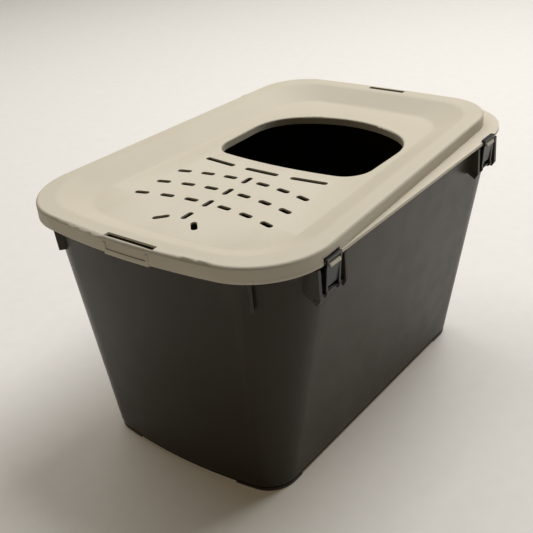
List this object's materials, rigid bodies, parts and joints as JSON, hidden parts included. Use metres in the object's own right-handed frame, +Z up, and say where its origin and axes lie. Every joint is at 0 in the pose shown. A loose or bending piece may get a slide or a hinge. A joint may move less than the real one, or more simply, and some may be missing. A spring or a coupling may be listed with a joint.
{
  "type": "top-entry cat litter box",
  "caption": "Tapered litter tub with a dished top-entry lid that has a vent pattern and a collared hole, held down by swing latches, on rubber feet.",
  "frame": {"origin": "on the floor, under the middle of the outline", "axes": "+X along the length towards the end with the entry hole, +Y across the width, +Z up"},
  "size_m": [0.5766, 0.4188, 0.337],
  "materials": {
    "lid_plastic": "warm beige moulded polypropylene, fine matte grain",
    "tub_plastic": "dark taupe moulded polypropylene, satin",
    "latch_plastic": "dark grey moulded plastic, satin",
    "pad_rubber": "soft grey anti-slip rubber"
  },
  "bodies": {
    "box": {"tub": "tub_plastic", "foot_pad_near_right": "pad_rubber", "foot_pad_near_left": "pad_rubber", "foot_pad_far_right": "pad_rubber", "foot_pad_far_left": "pad_rubber"},
    "lid": {"lid": "lid_plastic"},
    "latch_near_right": {"latch_near_right": "latch_plastic"},
    "latch_near_left": {"latch_near_left": "latch_plastic"},
    "latch_far_right": {"latch_far_right": "latch_plastic"},
    "latch_far_left": {"latch_far_left": "latch_plastic"}
  },
  "joints": [
    {"name": "lid_lift", "type": "slide", "parent": "box", "child": "lid", "axis": [0, 0, 1], "range_m": [0, 0.04]},
    {"name": "latch_near_right_hinge", "type": "hinge", "parent": "box", "child": "latch_near_right", "pos_m": [-0.184, -0.2, 0.283], "axis": [1, 0, 0], "range_deg": [0, 120]},
    {"name": "latch_near_left_hinge", "type": "hinge", "parent": "box", "child": "latch_near_left", "pos_m": [-0.184, 0.2, 0.283], "axis": [-1, 0, 0], "range_deg": [0, 120]},
    {"name": "latch_far_right_hinge", "type": "hinge", "parent": "box", "child": "latch_far_right", "pos_m": [0.178, -0.2, 0.283], "axis": [1, 0, 0], "range_deg": [0, 120]},
    {"name": "latch_far_left_hinge", "type": "hinge", "parent": "box", "child": "latch_far_left", "pos_m": [0.178, 0.2, 0.283], "axis": [-1, 0, 0], "range_deg": [0, 120]}
  ],
  "couplings": [
    {"joint": "latch_near_right_hinge", "follows": "lid_lift", "rad_per_m": 52.3},
    {"joint": "latch_near_left_hinge", "follows": "lid_lift", "rad_per_m": 52.3},
    {"joint": "latch_far_right_hinge", "follows": "lid_lift", "rad_per_m": 52.3},
    {"joint": "latch_far_left_hinge", "follows": "lid_lift", "rad_per_m": 52.3}
  ]
}
